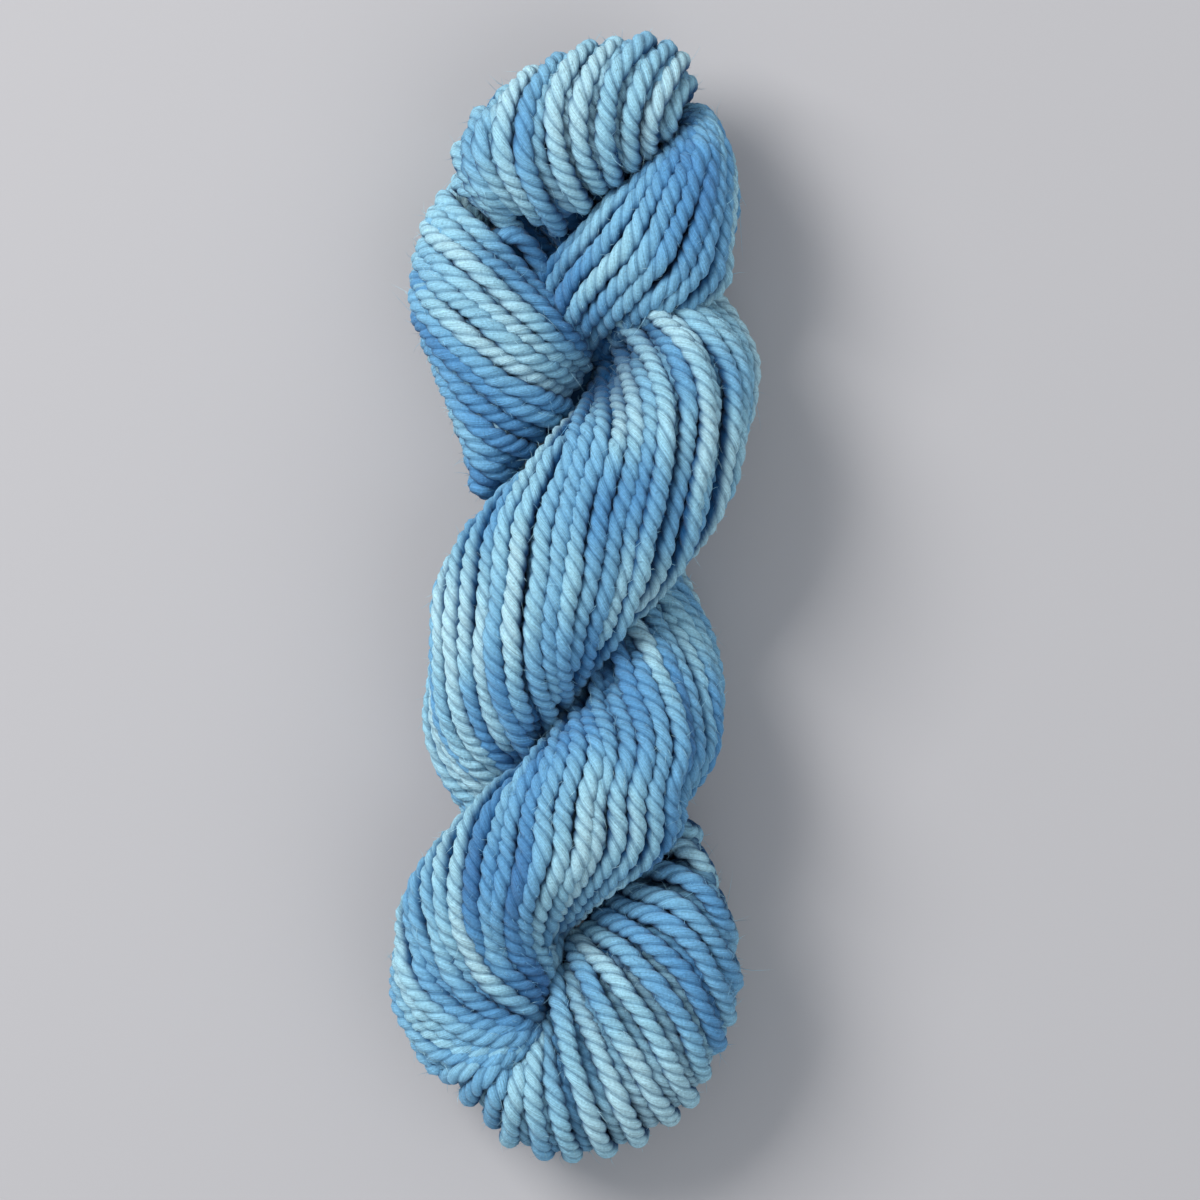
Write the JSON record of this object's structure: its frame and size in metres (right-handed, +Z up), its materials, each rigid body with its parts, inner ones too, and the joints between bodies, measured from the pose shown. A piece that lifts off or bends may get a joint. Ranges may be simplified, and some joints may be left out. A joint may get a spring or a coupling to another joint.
{
  "type": "hank of yarn",
  "caption": "Hank of chunky plied wool yarn, twisted on itself into a rope, with a rounded fold at one end and a fanned loop at the other, lying flat.",
  "frame": {"origin": "on the surface that the hank lies on, under the middle of its length and width", "axes": "+Y along the hank towards its fanned upper end, +Z up from the surface, +X to the right"},
  "size_m": [0.0884, 0.2694, 0.0528],
  "materials": {
    "wool": "matte, softly hairy plied wool, dyed in uneven blues"
  },
  "bodies": {
    "root": {"hank": "wool"}
  },
  "joints": []
}
